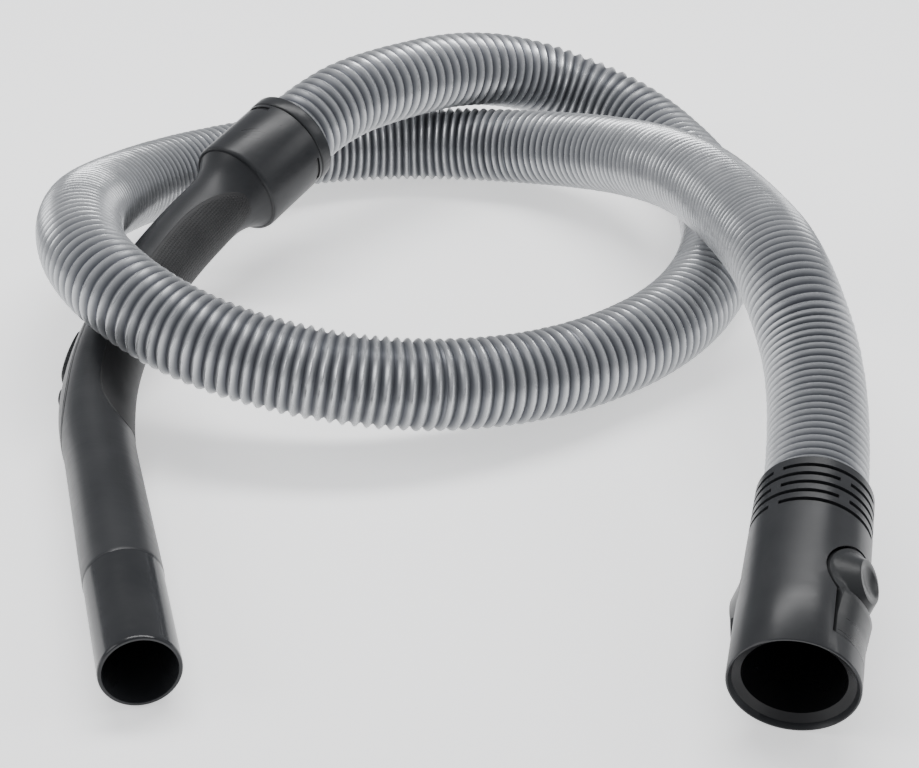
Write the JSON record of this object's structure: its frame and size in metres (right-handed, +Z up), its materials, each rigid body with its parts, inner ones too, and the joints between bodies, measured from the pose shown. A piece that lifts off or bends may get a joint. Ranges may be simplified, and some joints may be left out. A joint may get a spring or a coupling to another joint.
{
  "type": "vacuum cleaner hose",
  "caption": "Ribbed vacuum suction hose lying in an interlocked loop, with a bent wand handle that swivels on one end and a latching machine connector on the other.",
  "frame": {"origin": "on the floor under the middle of the handle and connector, which lie on it", "axes": "+Z up, +Y from the two open mouths towards the loop's far side, +X from the handle towards the connector"},
  "size_m": [0.3804, 0.5669, 0.1008],
  "materials": {
    "hose": "silver-grey pearlescent",
    "black_plastic": "satin moulded",
    "soft_grip": "matt dotted",
    "seal_rubber": "matt",
    "spring_steel": "plain",
    "inner_plastic": "satin"
  },
  "bodies": {
    "hose_line": {"hose": "hose", "handle_cuff": "black_plastic", "handle_seal": "seal_rubber", "machine_cuff": "inner_plastic", "machine_seal": "seal_rubber"},
    "handle": {"handle_tube": "black_plastic", "grip_shell": "black_plastic", "grip_cover": "black_plastic", "soft_grip": "soft_grip", "slider_guide": "black_plastic", "swivel_socket": "black_plastic", "socket_clip": "inner_plastic"},
    "slider": {"suction_slider": "black_plastic", "slider_spring": "spring_steel"},
    "connector": {"connector_body": "black_plastic", "connector_liner": "inner_plastic", "latch_spring_upper": "spring_steel", "latch_spring_lower": "spring_steel"},
    "upper_lever": {"latch_upper": "black_plastic"},
    "lower_lever": {"latch_lower": "black_plastic"}
  },
  "joints": [
    {"name": "handle_swivel", "type": "hinge", "parent": "hose_line", "child": "handle", "pos_m": [-0.07479, 0.20378, 0.0645], "axis": [0.5641, 0.7805, 0.2695], "range_deg": [-2, 155]},
    {"name": "connector_swivel", "type": "hinge", "parent": "hose_line", "child": "connector", "pos_m": [0.1313, -0.2125, 0.0242], "axis": [0.2128, 0.96, 0.1822], "continuous": true},
    {"name": "suction_slide", "type": "hinge", "parent": "handle", "child": "slider", "pos_m": [0.05891, 0.01229, 0.0943], "axis": [-0.3313, -0.0851, 0.9397], "range_deg": [0, 1.9]},
    {"name": "upper_latch", "type": "hinge", "parent": "connector", "child": "upper_lever", "pos_m": [0.1527, -0.20944, 0.03797], "axis": [-0.5366, -0.041, 0.8428], "range_deg": [0, 1.8], "stiffness_Nm_per_rad": 8},
    {"name": "lower_latch", "type": "hinge", "parent": "connector", "child": "lower_lever", "pos_m": [0.11416, -0.19636, 0.01407], "axis": [0.5366, 0.041, -0.8428], "range_deg": [0, 1.8], "stiffness_Nm_per_rad": 8}
  ]
}
